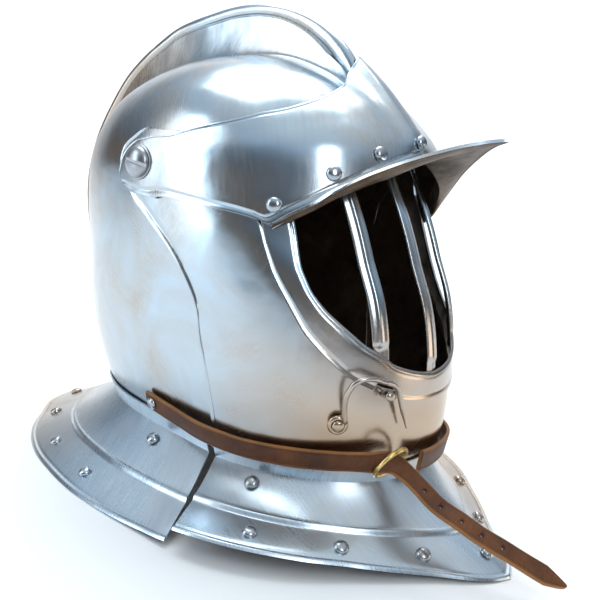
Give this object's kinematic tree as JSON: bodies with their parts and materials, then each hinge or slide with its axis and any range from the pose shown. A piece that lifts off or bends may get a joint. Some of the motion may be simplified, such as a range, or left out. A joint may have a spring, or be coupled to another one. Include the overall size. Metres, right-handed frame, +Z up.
{
  "type": "close helmet with barred visor",
  "caption": "Steel close helmet: combed skull, barred visor, peaked brow plate and bevor turning on temple pivots, with flared neck plates, hook catch and neck strap.",
  "frame": {"origin": "on the table, under the middle of the helmet's bounding box", "axes": "+Z up, -Y the way the wearer faces, -X the wearer's right; X is the helmet's short way and its plane of near symmetry is X = 0"},
  "size_m": [0.27, 0.4558, 0.3346],
  "materials": {
    "polished_steel": "bright polished steel with soft hammer waves and fine scratches",
    "dark_steel": "turned steel, worn bright on the edges",
    "brown_leather": "oiled strap leather with lighter cut edges",
    "old_brass": "cast brass wire, slightly dull",
    "padded_linen": "quilted undyed linen"
  },
  "bodies": {
    "skull": {"gorget_rear": "polished_steel", "liner": "padded_linen", "neck_strap": "brown_leather", "pivot_nut_left": "dark_steel", "pivot_nut_right": "dark_steel", "pivot_screw_left": "dark_steel", "pivot_screw_right": "dark_steel", "pivot_washer_left": "polished_steel", "pivot_washer_right": "polished_steel", "rear_neck_rivet_left": "polished_steel", "rear_neck_rivet_right": "polished_steel", "rear_rivet_1_left": "polished_steel", "rear_rivet_1_right": "polished_steel", "rear_rivet_2_left": "polished_steel", "rear_rivet_2_right": "polished_steel", "rear_rivet_3_left": "polished_steel", "rear_rivet_3_right": "polished_steel", "rear_rivet_4_left": "polished_steel", "rear_rivet_4_right": "polished_steel", "short_strap": "brown_leather", "short_strap_rivet": "polished_steel", "skull": "polished_steel", "strap_rivet": "polished_steel"},
    "bevor": {"bevor": "polished_steel", "front_neck_rivet_left": "polished_steel", "front_neck_rivet_right": "polished_steel", "front_rivet_1_left": "polished_steel", "front_rivet_1_right": "polished_steel", "front_rivet_2_left": "polished_steel", "front_rivet_2_right": "polished_steel", "front_rivet_3_left": "polished_steel", "front_rivet_3_right": "polished_steel", "front_rivet_middle": "polished_steel", "gorget_front": "polished_steel", "hook_eye_stud": "polished_steel", "hook_keeper": "polished_steel", "strap_ring": "old_brass"},
    "visor": {"visor_bar_centre": "polished_steel", "visor_bar_left": "polished_steel", "visor_bar_right": "polished_steel", "visor_plate": "polished_steel"},
    "brow": {"brow_plate": "polished_steel", "brow_rivet_1_left": "polished_steel", "brow_rivet_1_right": "polished_steel", "brow_rivet_2_left": "polished_steel", "brow_rivet_2_right": "polished_steel", "brow_rivet_3_left": "polished_steel", "brow_rivet_3_right": "polished_steel", "brow_rivet_middle": "polished_steel", "peak": "polished_steel"},
    "hook": {"visor_hook": "polished_steel"}
  },
  "joints": [
    {"name": "bevor_hinge", "type": "hinge", "parent": "skull", "child": "bevor", "pos_m": [0, 0.05374, 0.218], "axis": [-1, 0, 0], "range_deg": [0, 24], "deforming": ["neck_strap", "short_strap"]},
    {"name": "visor_hinge", "type": "hinge", "parent": "bevor", "child": "visor", "pos_m": [0, 0.05374, 0.218], "axis": [-1, 0, 0], "range_deg": [0, 20]},
    {"name": "peak_hinge", "type": "hinge", "parent": "visor", "child": "brow", "pos_m": [0, 0.05374, 0.218], "axis": [-1, 0, 0], "range_deg": [0, 14]},
    {"name": "hook_swing", "type": "hinge", "parent": "bevor", "child": "hook", "pos_m": [-0.0638, -0.09506, 0.083], "axis": [-0.7122, -0.6792, -0.1771], "range_deg": [0, 30]}
  ]
}
